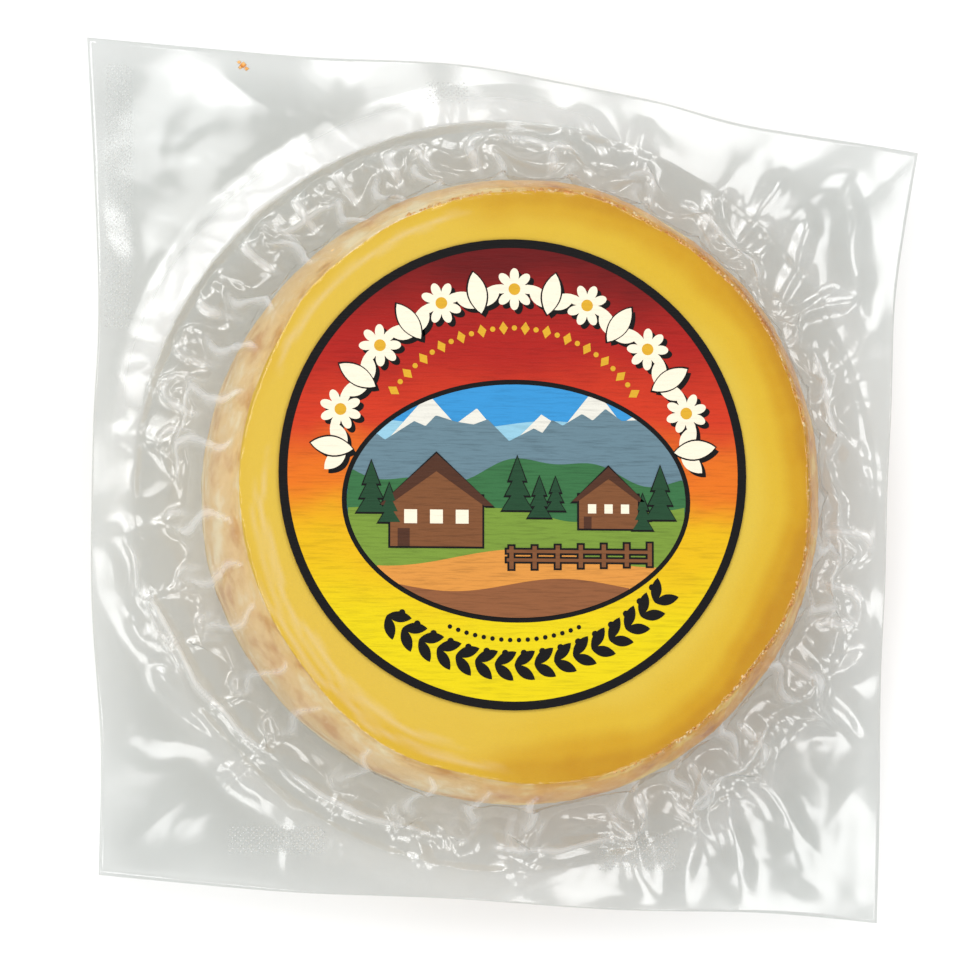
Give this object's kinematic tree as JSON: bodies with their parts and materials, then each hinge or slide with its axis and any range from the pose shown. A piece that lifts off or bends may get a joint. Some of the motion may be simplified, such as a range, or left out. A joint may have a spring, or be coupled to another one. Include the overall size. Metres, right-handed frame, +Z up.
{
  "type": "vacuum packed half cheese wheel",
  "caption": "Half wheel of washed-rind cheese, cut face up, shut in a clear vacuum bag with a pleated flat edge and a round label on top.",
  "frame": {"origin": "middle of the half wheel's base, on the surface that the pack lies on", "axes": "+Z up through the cut face and the label, +Y towards the top edge of the bag, +X to its right"},
  "size_m": [0.1581, 0.1681, 0.0387],
  "materials": {
    "clear_film": "clear glossy plastic film, crumpled",
    "cheese": "smooth moist cheese paste with a golden rim and an orange-brown washed rind",
    "label_paper": "satin printed label paper"
  },
  "bodies": {
    "root": {"vacuum_pack": "clear_film", "label": "label_paper"}
  },
  "joints": []
}
